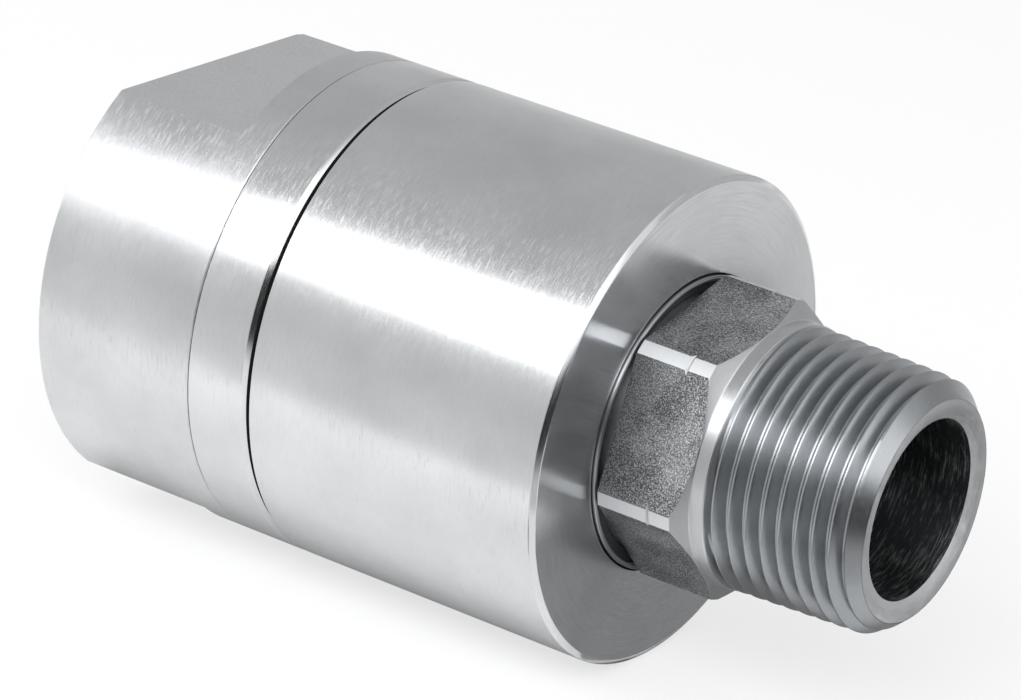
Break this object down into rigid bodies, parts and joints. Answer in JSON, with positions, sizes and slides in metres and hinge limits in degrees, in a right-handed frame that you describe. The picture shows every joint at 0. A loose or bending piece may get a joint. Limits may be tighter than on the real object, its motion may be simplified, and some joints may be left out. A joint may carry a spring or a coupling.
{
  "type": "hydraulic rotary union",
  "caption": "Straight-through hydraulic rotary union: round steel housing with wrench flats and a female port, and a turning hollow rotor with a hexagon and a male taper pipe thread.",
  "frame": {"origin": "on the flow axis where the port's thread starts, just inside its countersink", "axes": "+X along the flow axis from the port towards the rotor's thread, +Z square to a wrench flat"},
  "size_m": [0.0883, 0.05, 0.05],
  "materials": {
    "body_steel": "turned stainless steel, fine rings round the axis",
    "rotor_steel": "turned and milled stainless steel, satin",
    "shield_steel": "pressed steel rim, smooth",
    "shield_rubber": "dark moulded rubber, satin",
    "o_ring_rubber": "black moulded rubber, matt",
    "spring_steel": "blackened spring steel",
    "spacer_steel": "turned steel, satin",
    "bearing_steel": "ground bearing steel",
    "ball_steel": "polished bearing steel",
    "cage_plastic": "moulded natural polyamide",
    "seal_plastic": "turned filled plastic",
    "backup_plastic": "turned white plastic",
    "bush_bronze": "turned bronze"
  },
  "bodies": {
    "stator": {"housing": "body_steel", "port_cap": "body_steel", "lock_ring": "body_steel", "cap_o_ring": "o_ring_rubber", "dust_shield_case": "shield_steel", "dust_shield_lip": "shield_rubber", "preload_spring": "spring_steel", "outer_spacer": "spacer_steel", "pressure_seal": "seal_plastic", "seal_energiser": "o_ring_rubber", "seal_backup_ring": "backup_plastic", "tail_guide_bush": "bush_bronze", "seal_retaining_ring": "spring_steel", "front_bearing_outer_race": "bearing_steel", "rear_bearing_outer_race": "bearing_steel"},
    "rotor": {"rotor": "rotor_steel", "inner_spacer": "spacer_steel", "rotor_retaining_ring": "spring_steel", "front_bearing_inner_race": "bearing_steel", "rear_bearing_inner_race": "bearing_steel"},
    "front_cage": {"front_bearing_cage": "cage_plastic", "front_bearing_balls": "ball_steel"},
    "rear_cage": {"rear_bearing_cage": "cage_plastic", "rear_bearing_balls": "ball_steel"}
  },
  "joints": [
    {"name": "rotor_spin", "type": "hinge", "parent": "stator", "child": "rotor", "pos_m": [0.0435, 0, 0], "axis": [1, 0, 0], "continuous": true},
    {"name": "front_cage_spin", "type": "hinge", "parent": "stator", "child": "front_cage", "pos_m": [0.0495, 0, 0], "axis": [1, 0, 0], "continuous": true},
    {"name": "rear_cage_spin", "type": "hinge", "parent": "stator", "child": "rear_cage", "pos_m": [0.0375, 0, 0], "axis": [1, 0, 0], "continuous": true}
  ],
  "couplings": [
    {"joint": "front_cage_spin", "follows": "rotor_spin", "ratio": 0.4291},
    {"joint": "rear_cage_spin", "follows": "rotor_spin", "ratio": 0.4291}
  ]
}
